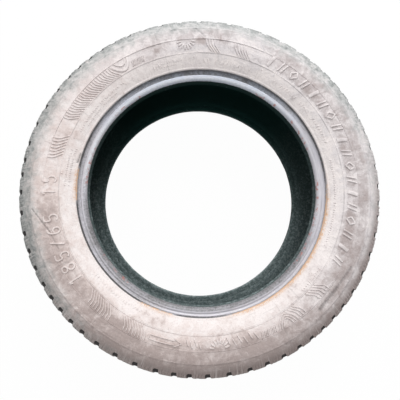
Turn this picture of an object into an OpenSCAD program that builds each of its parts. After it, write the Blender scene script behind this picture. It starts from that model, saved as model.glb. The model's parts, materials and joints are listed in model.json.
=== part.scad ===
// Worn passenger-car tyre, lying flat.
// Its axis is Z and the bulge of its lower sidewall touches Z = 0.
// The tyre is one moulding: a revolved section with lateral slots cut across both shoulders.
// A profile point is [radius, height above the mid-plane].

/* [Beads] */
// Diameter of the rim's bead seats, as size code 15 gives it
rim_d = 380.2; // [350:0.1:460]
// How much smaller in radius each bead is than the rim's seat, so that it grips
bead_grip = 1.5; // [0.5:0.1:2.5]
// Length of each bead's straight seat
seat_l = 6; // [4:0.5:8]
// How far each toe stands in from the seat
toe_lip = 1.6; // [0.5:0.1:2.5]
// Width of the bevel from the toe to the seat
toe_w = 3; // [2:0.5:5]
// Radius of the heel
heel_r = 7; // [5:0.5:9]
// How far each toe lies inside the widest part of the sidewall
toe_inset = 36; // [30:1:44]

/* [Sidewalls] */
// Width over the bulge of both sidewalls
section_w = 189; // [155:1:230]
// Thickness of the rubber where the sidewall bulges most
wall_t = 6; // [4:0.5:8]
// Height of the rim line above the rim's seat
rim_line_h = 14.2; // [11:0.1:17]
// How far the rim line stands out past the bead's face
rim_line_out = 5.5; // [4:0.5:8]
// Width of a moulded line
line_w = 1.4; // [0.8:0.1:2]
// Depth of the decorative band between its two lines
band_d = 0.6; // [0.3:0.1:1]
// Depth of the step between the sidewall and the shoulder
step_d = 0.9; // [0.4:0.1:1.5]
// Width of the flat ring round the bulge, on which the tyre lies
rest_w = 8; // [4:1:12]

/* [Tread] */
// Diameter over the worn crown
outer_d = 610; // [505:1:735]
// Width of the tread between its shoulders
tread_w = 134; // [110:1:162]
// How far the crown falls from its centre to a shoulder
crown_drop = 4.5; // [2:0.5:8]
// How far the rounded shoulder reaches from its corner
shoulder_round = 9; // [6:0.5:12]
// Thickness from the worn tread to the inner liner
crown_t = 10.5; // [9:0.5:14]
// What is left of the depth of the grooves
groove_d = 3.5; // [2:0.5:6]
// Width of a circumferential groove
groove_w = 8; // [5:0.5:10]
// Distance from the mid-plane to an inner groove
inner_groove = 15; // [10:1:20]
// Distance from the mid-plane to an outer groove
outer_groove = 41; // [34:1:46]
// Number of lateral slots across each shoulder
slots_n = 64; // [32, 48, 64, 80]
// Width of a lateral slot
slot_w = 8; // [4:0.5:9]
// Lean of the lateral slots, in degrees
slot_lean = 24; // [0:1:35]
// How far down from the shoulder's corner a slot opens through the side
slot_reach = 13.5; // [10:0.5:16]

/* [Hidden] */
$fn = 180;

// Relative lengths of the tread's pitches, which vary so that the tyre runs quietly
PITCHES = [5, 6, 7, 7, 7, 6, 5, 5, 5, 5, 6, 6, 6, 7, 7, 6];
PITCH_SUM = PITCHES * [for (p = PITCHES) 1];
// Where the first slot lies, in degrees clockwise from +Y as seen from above
PITCH_START = 3;
PITCH_SCALE = 360 / (PITCH_SUM * slots_n / len(PITCHES));

CURVE_STEPS = 6;
INNER_STEPS = 12;
WALL_POWER = 2.2;
INNER_POWER = 3;
// How far a groove's walls lean in
GROOVE_DRAFT = 1;
// How far a slot's cutter runs on outside the rubber
SLOT_OVERRUN = 30;
// How far the rim line's inner flank falls, and the floor of the hollow beside the heel,
// which the rim's flange presses in
LINE_H = 2;
HOLLOW = [3.5, -1];
// From a toe to the start of the inner liner's curve
TOE_BACK = [4, -1];
// The widest point, the decorative band's lower line and the step line, as shares of the
// section height
WIDEST = 0.57;
BAND_LOW = 0.333;
STEP_LINE = 0.695;
// From the flat ring round the bulge down to the decorative band's upper line
BAND_GAP = 0.596;

rim_r = rim_d / 2;
outer_r = outer_d / 2;
half_w = section_w / 2;
section_h = outer_r - rim_r;

seat_r = rim_r - bead_grip;
toe = [seat_r - toe_lip, half_w - toe_inset];
seat_in = toe[1] + toe_w;
seat_out = seat_in + seat_l;
bead_face = seat_out + heel_r;
rim_line = [rim_r + rim_line_h, bead_face + rim_line_out];
widest_r = rim_r + WIDEST * section_h;
bulge_in = widest_r - rest_w / 2;
bulge_out = widest_r + rest_w / 2;

// Where the crown and the sidewall would meet if the shoulder weren't rounded
corner = [outer_r - crown_drop, tread_w / 2];
slot_start = outer_groove;

function at_height(h) = rim_r + h * section_h;
function crown(z) = outer_r - crown_drop * pow(z / corner[1], 2);

// Height of the plain outer sidewall at radius r, on either side of its flat ring
function upper_wall(r) =
    half_w - (half_w - corner[1]) * pow((r - bulge_out) / (corner[0] - bulge_out), WALL_POWER);
function lower_wall(r) =
    half_w - (half_w - rim_line[1]) * pow((bulge_in - r) / (bulge_in - rim_line[0]), 2);
function wall(r) = r > bulge_out ? upper_wall(r) : r < bulge_in ? lower_wall(r) : half_w;

// Point t of the way along the curve from a to c that bends towards b
function bend(a, b, c, t) = pow(1 - t, 2) * a + 2 * t * (1 - t) * b + pow(t, 2) * c;

function groove(z) = [
    [crown(z - groove_w / 2), z - groove_w / 2],
    [crown(z) - groove_d, z - groove_w / 2 + GROOVE_DRAFT],
    [crown(z) - groove_d, z + groove_w / 2 - GROOVE_DRAFT],
    [crown(z + groove_w / 2), z + groove_w / 2]
];

crown_edge = [crown(corner[1] - shoulder_round), corner[1] - shoulder_round];
wall_edge = [corner[0] - shoulder_round, upper_wall(corner[0] - shoulder_round)];
shoulder = [for (i = [0:CURVE_STEPS]) bend(crown_edge, corner, wall_edge, i / CURVE_STEPS)];

// The sidewall from the shoulder down to the rim line, with its step and its sunk band
step_r = at_height(STEP_LINE);
band_low = at_height(BAND_LOW);
band_high = bulge_in - BAND_GAP;
function wall_run(from, to, sunk) = [
    for (i = [0:CURVE_STEPS]) let (r = from + (to - from) * i / CURVE_STEPS) [r, wall(r) - sunk]
];
outer_wall = concat(
    [for (i = [1:CURVE_STEPS]) let (r = wall_edge[0] + (step_r + line_w - wall_edge[0]) * i / CURVE_STEPS)
        [r, wall(r) - step_d * i / CURVE_STEPS]],
    wall_run(step_r, bulge_out, 0),
    wall_run(bulge_in, band_high, 0),
    wall_run(band_high - line_w, band_low + line_w, band_d),
    wall_run(band_low, rim_line[0] + line_w, 0)
);

// The bead, from the rim line round the heel and along the seat to the toe
heel = [for (i = [0:CURVE_STEPS]) let (a = 90 + 90 * i / CURVE_STEPS)
    [seat_r + heel_r + heel_r * cos(a), seat_out + heel_r * sin(a)]];
flange_mid = [seat_r + heel_r, bead_face] + HOLLOW;
bead = concat([rim_line, rim_line - [line_w, LINE_H], flange_mid], heel, [[seat_r, seat_in], toe]);

// The inner liner, from the toe up to the crown
liner_half_w = half_w - wall_t;
liner_rise = outer_r - crown_t - widest_r;
bead_inside = toe + TOE_BACK;
lower_liner = [for (i = [0:CURVE_STEPS - 1]) let (
    r = bead_inside[0] + (widest_r - bead_inside[0]) * i / CURVE_STEPS,
    s = (widest_r - r) / (widest_r - bead_inside[0]))
    [r, liner_half_w - (liner_half_w - bead_inside[1]) * pow(s, 1.5)]];
upper_liner = [for (i = [0:INNER_STEPS - 1]) let (a = 90 * i / INNER_STEPS)
    [widest_r + liner_rise * pow(sin(a), 2 / INNER_POWER), liner_half_w * pow(cos(a), 2 / INNER_POWER)]];

upper_half = concat(groove(inner_groove), groove(outer_groove), shoulder, outer_wall, bead,
                    lower_liner, upper_liner);

module section() {
    polygon(concat([[outer_r, 0]], upper_half, [[outer_r - crown_t, 0]],
                   [for (i = [len(upper_half) - 1:-1:0]) [upper_half[i][0], -upper_half[i][1]]]));
}

// The space of one lateral slot over the upper shoulder. Its floor follows the crown and the
// rounded shoulder at the grooves' depth, then comes out through the side.
module slot() {
    low = crown_edge - [groove_d, 0];
    high = bend(crown_edge, corner, wall_edge, 0.6) - groove_d * [cos(45), sin(45)];
    side_r = corner[0] - slot_reach;
    translate([0, 0, crown_edge[1]])
        rotate([slot_lean, 0, 0])
            translate([0, 0, -crown_edge[1]])
                rotate([90, 0, 0])
                    linear_extrude(height = slot_w, center = true)
                        polygon([
                            [crown(slot_start) - groove_d, slot_start], low, high,
                            [side_r, upper_wall(side_r)],
                            [side_r, corner[1] + SLOT_OVERRUN],
                            [outer_r + SLOT_OVERRUN, corner[1] + SLOT_OVERRUN],
                            [outer_r + SLOT_OVERRUN, slot_start]
                        ]);
}

// Sum of the first n pitches, in degrees clockwise from above
function pitch_angle(n) = n == 0 ? 0 :
    pitch_angle(n - 1) + PITCHES[(n - 1) % len(PITCHES)] * PITCH_SCALE;

module slots() {
    for (i = [0:slots_n - 1])
        rotate([0, 0, 90 - PITCH_START - pitch_angle(i)]) slot();
}

module tyre() {
    color("#cdc3be")
        translate([0, 0, half_w])
            difference() {
                rotate_extrude() section();
                slots();
                mirror([0, 0, 1]) slots();
            }
}

tyre();
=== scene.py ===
import functools
import json
import math

import bpy
import numpy as np
from bpy.props import FloatProperty, FloatVectorProperty, PointerProperty
from bpy.types import Operator, Panel, PropertyGroup
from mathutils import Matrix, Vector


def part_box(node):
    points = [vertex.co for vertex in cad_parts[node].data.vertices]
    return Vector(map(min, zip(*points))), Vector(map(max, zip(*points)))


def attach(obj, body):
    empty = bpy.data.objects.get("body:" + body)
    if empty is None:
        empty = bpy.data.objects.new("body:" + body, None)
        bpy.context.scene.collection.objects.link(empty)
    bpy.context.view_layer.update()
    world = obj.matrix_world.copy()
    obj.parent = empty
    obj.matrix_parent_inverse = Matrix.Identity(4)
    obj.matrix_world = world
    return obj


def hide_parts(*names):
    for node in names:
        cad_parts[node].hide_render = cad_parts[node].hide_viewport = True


bl_info = {
    "name": "Worn Tyre",
    "version": (1, 0, 0),
    "blender": (4, 5, 0),
    "location": "View3D > Sidebar > Tyre",
    "description": "Builds an old, dusty car tyre piece by piece around its packed model",
    "category": "Add Mesh",
}

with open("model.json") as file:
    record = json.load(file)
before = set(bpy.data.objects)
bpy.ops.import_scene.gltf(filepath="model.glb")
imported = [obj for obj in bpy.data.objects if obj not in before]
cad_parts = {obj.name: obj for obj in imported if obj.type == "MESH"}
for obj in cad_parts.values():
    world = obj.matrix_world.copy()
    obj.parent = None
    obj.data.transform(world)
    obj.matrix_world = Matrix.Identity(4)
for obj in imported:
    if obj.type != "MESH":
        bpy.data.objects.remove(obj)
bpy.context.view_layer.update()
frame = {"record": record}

MM = 0.001
TURN = 2 * math.pi
UPPER, LOWER = 1, -1

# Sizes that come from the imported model. Heights are measured from the tyre's mid-plane.
LOW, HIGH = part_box("tyre")
MOUNTS = {mount["name"]: mount for mount in frame["record"]["mounts"]}
OUTER_R = HIGH.x
HALF_W = (HIGH.z - LOW.z) / 2
MID_Z = (HIGH.z + LOW.z) / 2
SEAT_R = MOUNTS["upper_bead"]["dims"]["r_mm"] * MM
SEAT_L = MOUNTS["upper_bead"]["dims"]["length_mm"] * MM
SEAT_Z = MOUNTS["upper_bead"]["pos_m"][2] - MID_Z
BULGE_R = MOUNTS["lower_side"]["pos_m"][0]

# Clock angles run clockwise from +Y as seen from above, in degrees.
# The lengths of the tread's pitches, relative to each other, and where the first slot lies
PITCHES = np.array([5, 6, 7, 7, 7, 6, 5, 5, 5, 5, 6, 6, 6, 7, 7, 6] * 4)
PITCH_START = 3

# How many columns of points each ring has round it
WALL_ROUND, BEAD_ROUND, LINER_ROUND = 1280, 720, 540


def length(name, size, description):
    """A length that a user can change, with its default in millimetres."""
    return FloatProperty(name=name, description=description, default=size * MM, unit="LENGTH")


def shade(name, default, description):
    """A colour that a user can change."""
    return FloatVectorProperty(name=name, description=description, default=default, subtype="COLOR")


class TyreSizes(PropertyGroup):
    """The sizes of the moulded shapes."""

    relief: length("Relief", 0.8, "How far the plain sidewall lies inside the tyre's width")
    crown_drop: length("Crown drop", 4.5, "How far the crown falls from its centre to a shoulder")
    tread_half: length("Tread half width", 67, "From the mid-plane to the shoulder's corner")
    shoulder_round: length("Shoulder round", 9, "How far the rounded shoulder reaches from its corner")
    groove_depth: length("Groove depth", 3.5, "What is left of the tread's grooves")
    slot_width: length("Slot width", 8, "Width of a lateral slot at the shoulder")
    sipe_depth: length("Sipe depth", 2.2, "Depth of the thin cuts in the tread's blocks")
    line_height: length("Line height", 0.5, "Height of the moulded lines on the sidewall")
    mark_height: length("Mark height", 0.8, "Height of the raised marks on the sidewall")
    ripple: length("Ripple", 0.25, "Unevenness of the old rubber")


class TyreColours(PropertyGroup):
    """The colours of the rubber and of what lies on it."""

    dust: shade("Dust", (0.66, 0.625, 0.635), "Cool pale dust that covers the sidewall")
    tan: shade("Tan dust", (0.69, 0.59, 0.56), "Warm dust on the side that lay lowest")
    chalk: shade("Chalk", (0.84, 0.78, 0.765), "Whitest dust, low on the sidewall")
    mud: shade("Mud", (0.33, 0.265, 0.25), "Dried mud in the hollows")
    moss: shade("Grey film", (0.345, 0.365, 0.36), "Grey film on the tread's edge")
    # Also laid as painted shade in the tread's cuts, along the sidewall's lines and on the beads
    rubber: shade("Rubber", (0.035, 0.033, 0.033), "Bare aged rubber")
    rust: shade("Rust", (0.7, 0.42, 0.23), "Rust that the rim left along its line")
    red_rust: shade("Red rust", (0.42, 0.13, 0.10), "Specks of fresh rust on the beads")
    bead: shade("Bead", (0.515, 0.505, 0.55), "Rubber of the bead, polished by the rim")
    # Painted reflection: a cool tint laid over the far side of the beads
    painted_sheen: shade("Sheen", (0.55, 0.65, 0.8), "Cool sheen of the bead's far side")
    # Painted highlight: a bright colour laid along the heel of the bead on its far side, not a rubbed colour
    crest_highlight: shade("Crest", (0.78, 0.81, 0.86), "Brightest part of a bead, rubbed by the rim")
    liner: shade("Liner", (0.008, 0.036, 0.032), "Inner liner")
    liner_dust: shade("Liner dust", (0.34, 0.405, 0.41), "Dust inside the tyre")


class TyreStage(PropertyGroup):
    """The lamps and the floor."""

    sky: FloatProperty(
        name="Sky", description="Strength of the even light from all around", default=0.44, min=0)
    key: FloatProperty(
        name="Key", description="Watts of the large lamp beyond the tyre's far side", default=58, min=0)
    fill: FloatProperty(
        name="Fill", description="Watts of the large lamp over the camera", default=8, min=0)
    floor: shade("Floor", (0.9, 0.9, 0.9), "Colour of the floor")


# ---- meshes

def flat(clock, radius):
    """x and y of a clock angle in radians and a radius."""
    return radius * np.sin(clock), radius * np.cos(clock)


def polar(radius, clock, height):
    """Points at a radius, a clock angle in radians and a height over the mid-plane."""
    return np.stack(np.broadcast_arrays(*flat(clock, radius), MID_Z + height), axis=-1)


def add_object(name, data):
    """A new object in the scene."""
    made = bpy.data.objects.new(name, data)
    bpy.context.scene.collection.objects.link(made)
    return made


def volume_of(points, quads):
    """Six times the signed volume inside a mesh of four-sided faces, from two triangles of each."""
    a, b, c, d = (points[quads[:, i]] for i in range(4))
    return (a * (np.cross(b, c) + np.cross(c, d))).sum()


def add_mesh(name, points, quads, caps=None, fields=None, smooth_angle=50):
    """A mesh object from vertices (n, 3), four-sided faces (m, 4) and cap faces (k, sides).

    Faces are turned outwards where the signed volume comes out negative. Each of the fields is a
    number per vertex, kept as an attribute of its name for the material.
    """
    if volume_of(points, quads) < 0:
        quads = quads[:, ::-1]
        caps = None if caps is None else caps[:, ::-1]
    groups = [quads] + ([] if caps is None else [caps])
    corners = np.concatenate([g.ravel() for g in groups]).astype(np.int32)
    sides = np.concatenate([np.full(len(g), g.shape[1]) for g in groups]).astype(np.int32)
    starts = np.concatenate([[0], np.cumsum(sides)[:-1]]).astype(np.int32)
    mesh = bpy.data.meshes.new(name)
    mesh.vertices.add(len(points))
    mesh.vertices.foreach_set("co", points.astype(np.float32).ravel())
    mesh.loops.add(len(corners))
    mesh.loops.foreach_set("vertex_index", corners)
    mesh.polygons.add(len(sides))
    mesh.polygons.foreach_set("loop_start", starts)
    mesh.update(calc_edges=True)
    mesh.validate()
    for field, values in (fields or {}).items():
        layer = mesh.attributes.new(field, "FLOAT", "POINT")
        layer.data.foreach_set("value", values.astype(np.float32).ravel())
    mesh.polygons.foreach_set("use_smooth", np.ones(len(sides), bool))
    mesh.set_sharp_from_angle(angle=math.radians(smooth_angle))
    return add_object(name, mesh)


def ring_quads(around, across):
    """Faces of a grid that closes both ways, as on a doughnut."""
    index = np.arange(around * across).reshape(around, across)
    right, up = np.roll(index, -1, 0), np.roll(index, -1, 1)
    return np.stack([index, right, np.roll(right, -1, 1), up], axis=-1).reshape(-1, 4)


def add_ring(name, front, clock, back, side=UPPER, fields=None, smooth_angle=50):
    """A closed ring round the tyre, from its worked face and the hidden points behind it.

    front is (around, across, 3). back is the radius and height of each point that closes the
    section behind the face, the same all the way round, and every field is 0 there.
    """
    back = np.array(back)
    hidden = polar(back[:, 0], clock[:, :1], side * back[:, 1])
    points = np.concatenate([front, hidden], axis=1)
    padding = ((0, 0), (0, len(back)))
    fields = {field: np.pad(values, padding) for field, values in (fields or {}).items()}
    return add_mesh(name, points.reshape(-1, 3), ring_quads(*points.shape[:2]),
                    fields=fields, smooth_angle=smooth_angle)


def finish_piece(piece, material):
    """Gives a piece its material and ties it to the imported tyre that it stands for."""
    piece.data.materials.append(material)
    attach(piece, "root")
    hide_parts("tyre")


def waves(clock, along, seed, most_turns, per_metre, count=28):
    """Smooth unevenness round the ring, about -1 to 1.

    A sum of cosines: each goes a whole number of times round, so it has no seam, leans by a
    chance amount along the section, and starts at a chance phase.
    """
    chance = np.random.default_rng(seed)
    turns = chance.integers(1, most_turns, count)
    leans = chance.normal(0, per_metre, count)
    phases = chance.uniform(0, TURN, count)
    total = sum(np.cos(n * clock + k * along + p) for n, k, p in zip(turns, leans, phases))
    return total / math.sqrt(2 * count)


def ramp(value, low, high):
    """0 below low, 1 above high, and a smooth S between."""
    t = np.clip((value - low) / (high - low), 0, 1)
    return t * t * (3 - 2 * t)


def hump(value, middle, reach, soft):
    """1 within reach of the middle, falling smoothly to 0 over soft."""
    return 1 - ramp(np.abs(value - middle), reach, reach + soft)


def arc(clock, middle, reach, soft):
    """A hump over the clock angles in radians: its middle, reach and softness are in degrees."""
    return hump((np.degrees(clock) - middle + 180) % 360, 180, reach, soft)


def climb(distance, low, high):
    """A ramp over distances in metres, from low to high in millimetres."""
    return ramp(distance / MM, low, high)


def belt(distance, middle, reach, soft):
    """A hump over distances in metres: its middle, reach and softness are in millimetres."""
    return hump(distance / MM, middle, reach, soft)


def curve_through(points, count):
    """A smooth curve through points: Catmull-Rom, with count steps on each stretch."""
    points = np.asarray(points, float)
    padded = np.concatenate([[2 * points[0] - points[1]], points, [2 * points[-1] - points[-2]]])
    t = np.linspace(0, 1, count, endpoint=False)[:, None]
    runs = []
    for a, b, c, d in zip(padded, padded[1:], padded[2:], padded[3:]):
        runs.append(0.5 * (2 * b + (c - a) * t + (2 * a - 5 * b + 4 * c - d) * t ** 2
                           + (3 * b - a - 3 * c + d) * t ** 3))
    return np.concatenate(runs + [points[-1:]])


# ---- section

def sizes():
    return bpy.context.scene.tyre_sizes


def colours():
    return bpy.context.scene.tyre_colours


# Where the bead's seat ends towards the toe and towards the heel, and how it grips the rim
SEAT_IN, SEAT_OUT = SEAT_Z - SEAT_L / 2, SEAT_Z + SEAT_L / 2
BEAD_GRIP, HEEL_R = 1.5 * MM, 7 * MM
TOE = (SEAT_R - 1.6 * MM, SEAT_IN - 3 * MM)
RIM_R = SEAT_R + BEAD_GRIP
RIM_LINE_R, RIM_LINE_Z = RIM_R + 14.2 * MM, SEAT_OUT + 12.5 * MM
# The lines of the sidewall, as shares of the section's height
SECTION_H = OUTER_R - RIM_R
STEP_R, BAND_HIGH, BAND_LOW = (RIM_R + share * SECTION_H for share in (0.695, 0.53, 0.333))
STEP_DEPTH, BAND_DEPTH, RIDGE_HEIGHT = 0.9 * MM, 0.55 * MM, 0.5 * MM
# The flat ring that the tyre lies on, and the power of the sidewall's fall to the shoulder
REST_W, WALL_POWER = 8 * MM, 2.2
INNER_GROOVE, OUTER_GROOVE, GROOVE_W = 15 * MM, 41 * MM, 8 * MM
# Thickness of the crown, the sidewall and the liner's skin
CROWN_T, WALL_T, LINER_T = 10.5 * MM, 6 * MM, 2.1 * MM
# The marks' widths and heights in mm, or heights as a share of the mark height
RIB_W, RIB_SHARE, RAY_W, TICK_H = 1.8, 0.8, 3.0, 0.9
SPOT_W, SPOT_H, NUMERAL_W, NUMERAL_SHARE = 2.0, 0.8, 3.0, 0.9
# The size numerals: what they say, their first and last clock angle, and their top radius and
# height in mm
NUMERALS = ("185/65 15", 234, 273, 252, 20)


def corner():
    """Radius and height at which the crown and the sidewall would meet."""
    return OUTER_R - sizes().crown_drop, sizes().tread_half


def crown(z):
    """Radius of the crown at a height: it falls off as the square of the height."""
    return OUTER_R - sizes().crown_drop * (z / sizes().tread_half) ** 2


def wall(r):
    """Height of the plain sidewall at a radius.

    It is level over the ring that the tyre lies on, falls off as a power of the distance above
    it towards the shoulder, and as a square of the distance below it towards the rim line.
    """
    corner_r, corner_z = corner()
    top = HALF_W - sizes().relief
    above = np.clip(r - BULGE_R - REST_W / 2, 0, None) / (corner_r - BULGE_R - REST_W / 2)
    below = np.clip(BULGE_R - REST_W / 2 - r, 0, None) / (BULGE_R - REST_W / 2 - RIM_LINE_R)
    return top - (top - corner_z) * above ** WALL_POWER - (top - RIM_LINE_Z) * below ** 2


def shoulder(t):
    """The rounded shoulder from the crown (t = 0) to the sidewall (t = 1): a bend towards the corner."""
    corner_r, corner_z = corner()
    reach = sizes().shoulder_round
    a = np.array([crown(corner_z - reach), corner_z - reach])
    b = np.array([corner_r, corner_z])
    c = np.array([corner_r - reach, wall(corner_r - reach)])
    t = np.asarray(t)[:, None]
    return (1 - t) ** 2 * a + 2 * t * (1 - t) * b + t ** 2 * c


def liner(steps):
    """The inner surface from the upper toe over the crown's inside to the lower toe.

    Above the widest point the section is a rounded box, r and z to the third power; below it the
    height falls off as the power 1.5 of the distance to the bead.
    """
    rise, half = OUTER_R - CROWN_T - BULGE_R, HALF_W - WALL_T
    start = np.array([TOE[0] + 10 * MM, TOE[1] + 3 * MM])
    r = np.linspace(start[0], BULGE_R, steps, endpoint=False)
    low = np.stack([r, half - (half - start[1]) * ((BULGE_R - r) / (BULGE_R - start[0])) ** 1.5], 1)
    angle = np.linspace(0, math.pi / 2, 2 * steps)
    high = np.stack([BULGE_R + rise * np.sin(angle) ** (2 / 3), half * np.cos(angle) ** (2 / 3)], 1)
    upper = np.concatenate([low, high])
    return np.concatenate([upper, upper[-2::-1] * [1, -1]])


def run_along(section):
    """Distance along a section from its first point to each of its points."""
    return np.concatenate([[0], np.cumsum(np.linalg.norm(np.diff(section, axis=0), axis=1))])


def round_clock(around):
    """Clock angles in radians, evenly round the tyre, as a column."""
    return np.linspace(0, TURN, around, endpoint=False)[:, None]


def outward(section):
    """Unit normals of a section that runs from the crown to the bead, pointing out of the rubber."""
    along = np.gradient(section, axis=0)
    normal = np.stack([along[:, 1], -along[:, 0]], axis=1)
    return normal / np.linalg.norm(normal, axis=1, keepdims=True)


def pushed_in(section, clock, down, side=UPPER):
    """Points of a section carried round the ring, each pushed into the rubber along its normal."""
    (r, z), (out_r, out_z) = section.T, outward(section).T
    return polar(r - out_r * down, clock, side * (z - out_z * down))


# ---- shader

def both_ways(operation):
    """An operator of Signal, and its reflected form for a number on the left."""
    return (lambda self, other: self.math(operation, self, other),
            lambda self, other: self.math(operation, other, self))


class Signal:
    """A value, colour or vector on its way through a material: it wraps a node's output socket."""

    def __init__(self, tree, socket=None):
        self.tree, self.socket = tree, socket

    def node(self, kind, settings=None, inputs=None, output=0):
        """Adds a node: its type, its settings, and the values or links of its sockets."""
        made = self.tree.nodes.new(kind)
        for name, value in (settings or {}).items():
            setattr(made, name, value)
        for key, value in (inputs or {}).items():
            if isinstance(value, Signal):
                self.tree.links.new(value.socket, made.inputs[key])
            else:
                made.inputs[key].default_value = value
        return Signal(self.tree, made.outputs[output] if made.outputs else None)

    def math(self, operation, *values, clamp=False):
        settings = {"operation": operation, "use_clamp": clamp}
        return self.node("ShaderNodeMath", settings, dict(enumerate(values)))

    __add__, __radd__ = both_ways("ADD")
    __sub__, __rsub__ = both_ways("SUBTRACT")
    __mul__, __rmul__ = both_ways("MULTIPLY")
    __truediv__, __rtruediv__ = both_ways("DIVIDE")
    __pow__, __rpow__ = both_ways("POWER")

    def clamp(self):
        return self.math("ADD", self, 0.0, clamp=True)

    def between(self, low, high):
        """0 where the value is below low, 1 above high, and a smooth step between."""
        settings = {"interpolation_type": "SMOOTHSTEP"}
        inputs = {"Value": self, "From Min": low, "From Max": high}
        return self.node("ShaderNodeMapRange", settings, inputs)


def colour(values):
    """A colour of three numbers as the four that a socket takes."""
    return (*values, 1.0)


def empty_tree(owner):
    """A new node tree for a material or a world, as a Signal that its first nodes start from."""
    owner.use_nodes = True
    owner.node_tree.nodes.clear()
    return Signal(owner.node_tree)


class Finish:
    """A material being made: what its textures share, and the ways to mix colours."""

    def __init__(self, name):
        self.material = bpy.data.materials.new(name)
        self.start = empty_tree(self.material)
        self.place = self.start.node("ShaderNodeTexCoord", output="Object")
        split = self.start.node("ShaderNodeSeparateXYZ", inputs={0: self.place})
        x, y = (Signal(split.tree, split.socket.node.outputs[i]) for i in range(2))
        self.radius = (x * x + y * y) ** 0.5
        self.east, self.north = x / self.radius, y / self.radius

    def field(self, name):
        """A number that the mesh holds at each vertex."""
        return self.start.node("ShaderNodeAttribute", {"attribute_name": name}, output="Fac")

    def noise(self, scale, detail, rough, vector=None, twist=0.0):
        inputs = {"Vector": vector or self.place, "Scale": scale, "Detail": detail,
                  "Roughness": rough, "Distortion": twist}
        return self.start.node("ShaderNodeTexNoise", inputs=inputs)

    def streaks(self, round_scale, out_scale, detail, rough):
        """Noise drawn out along the radius or round the ring, with no seam."""
        inputs = {0: self.east * round_scale, 1: self.north * round_scale, 2: self.radius * out_scale}
        vector = self.start.node("ShaderNodeCombineXYZ", inputs=inputs)
        return self.noise(1.0, detail, rough, vector)

    def lay(self, base, *coats):
        """Lays colours on a base one after another.

        Each coat is an amount and the name of one of the tyre's colours. The base is such a name
        too, or a colour.
        """
        if isinstance(base, str):
            base = colour(getattr(colours(), base))
        for amount, name in coats:
            inputs = {0: amount, 6: base, 7: colour(getattr(colours(), name))}
            base = self.start.node("ShaderNodeMix", {"data_type": "RGBA"}, inputs, output=2)
        return base

    def bump(self, height, distance, strength, under=None):
        """A normal raised by a height, with its distance in millimetres, on top of one under it."""
        inputs = {"Height": height, "Distance": distance * MM, "Strength": strength}
        if under:
            inputs["Normal"] = under
        return self.start.node("ShaderNodeBump", inputs=inputs)

    def surface(self, base, roughness, normal, gloss):
        """A shader whose colour, roughness and normal vary, with one strength of reflection."""
        inputs = {"Base Color": base, "Roughness": roughness, "Normal": normal, "Specular IOR Level": gloss}
        return self.start.node("ShaderNodeBsdfPrincipled", inputs=inputs)

    def close(self, surface):
        """Ends the material in a shader."""
        self.start.node("ShaderNodeOutputMaterial", inputs={"Surface": surface})
        return self.material


def dusty_rubber(skin, grime):
    """Colour of the outer rubber, its bump, and its finest noise.

    Cool dust lies on one side of the tyre and tan dust on the other, with clouds of chalk and mud.
    Mud gathers where the grime is high, with ragged borders, because the clouds shift its limit.
    """
    cloud = skin.noise(27.0, 5.0, 0.62, twist=0.8)
    patch = skin.noise(95.0, 5.0, 0.66, twist=0.6)
    speck = skin.noise(430.0, 3.0, 0.7)
    drawn_out = skin.streaks(34.0, 16.0, 5.0, 0.7)
    drawn_round = skin.streaks(3.0, 420.0, 3.0, 0.6)
    low_down = 1 - skin.radius.between(RIM_LINE_R + 6 * MM, BAND_LOW + 12 * MM)
    warmth = cloud - 0.55 - skin.north * 0.6 - skin.east * 0.75 + low_down * 0.35
    chalky = (low_down * 0.65 + 0.24 + (0.5 - cloud) * 2.6 + (0.5 - patch) * 2.4).clamp()
    muddy = grime * 1.2 - 0.24 - low_down * 0.22 + (cloud - 0.5) * 2.0 + (patch - 0.5) * 2.2
    muddy = (muddy + (drawn_out - 0.5) * 0.6).clamp()
    base = skin.lay(
        "dust", (warmth.between(-0.75, 0.85), "tan"), (chalky * (1 - grime * 0.6), "chalk"),
        (muddy * 0.72, "mud"), (speck.between(0.5, 0.75) * 0.32, "mud"),
        ((1 - speck).between(0.55, 0.75) * 0.3, "chalk"),
        (drawn_round.between(0.58, 0.75) * 0.14, "rubber"), (drawn_out.between(0.6, 0.7) * 0.18, "rubber"))
    relief = skin.bump(patch + cloud * 1.5, 1.2, 0.8, skin.bump(speck, 0.25, 0.7))
    return base, skin.bump(drawn_round, 0.25, 0.6, relief), speck


def grey_film(skin, base, edge):
    """Lays the grey film of the tread's edge on a colour, worn through in clumps.

    Returns the colour and the fine noise that the wear follows.
    """
    scuff = skin.noise(160.0, 5.0, 0.7)
    clump = skin.noise(62.0, 4.0, 0.6, twist=0.5)
    film = (edge * 1.05 - 0.05 + (clump - 0.5) * 1.3 + (scuff - 0.5) * 1.1).clamp() * edge.between(0.0, 0.35)
    bare = (edge * 0.7 + (scuff - 0.5) * 2.6 + (clump - 0.5) * 1.4 - 0.5).clamp() * edge.between(0.0, 0.5)
    return skin.lay(base, (film * 0.9, "moss"), (bare * 0.6, "rubber")), scuff


def sidewall_finish():
    """Dusty sidewall with scars down to the rubber, painted shade along its lines and under the step, and
    rust at the rim line.
    """
    skin = Finish("dusty_sidewall")
    scar_and_shade, rust = skin.field("scar_and_shade"), skin.field("rust")
    base, normal, speck = dusty_rubber(skin, skin.field("grime"))
    base, _ = grey_film(skin, base, skin.field("edge"))
    rusty = (rust + (skin.noise(210.0, 4.0, 0.7) - 0.5) * 2.2).between(0.65, 1.25) * rust.between(0.1, 0.5)
    # Bare rubber in the scars, and the same dark colour as painted shade along the sidewall's lines and under
    # the step
    base = skin.lay(base, ((scar_and_shade * (0.45 + speck * 0.6)).clamp() * 0.75, "rubber"),
                    (rust.between(0.0, 0.8) * 0.22, "rust"), (rusty * 0.8, "rust"))
    return skin.close(skin.surface(base, 0.78 + speck * 0.18, normal, 0.25))


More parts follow.
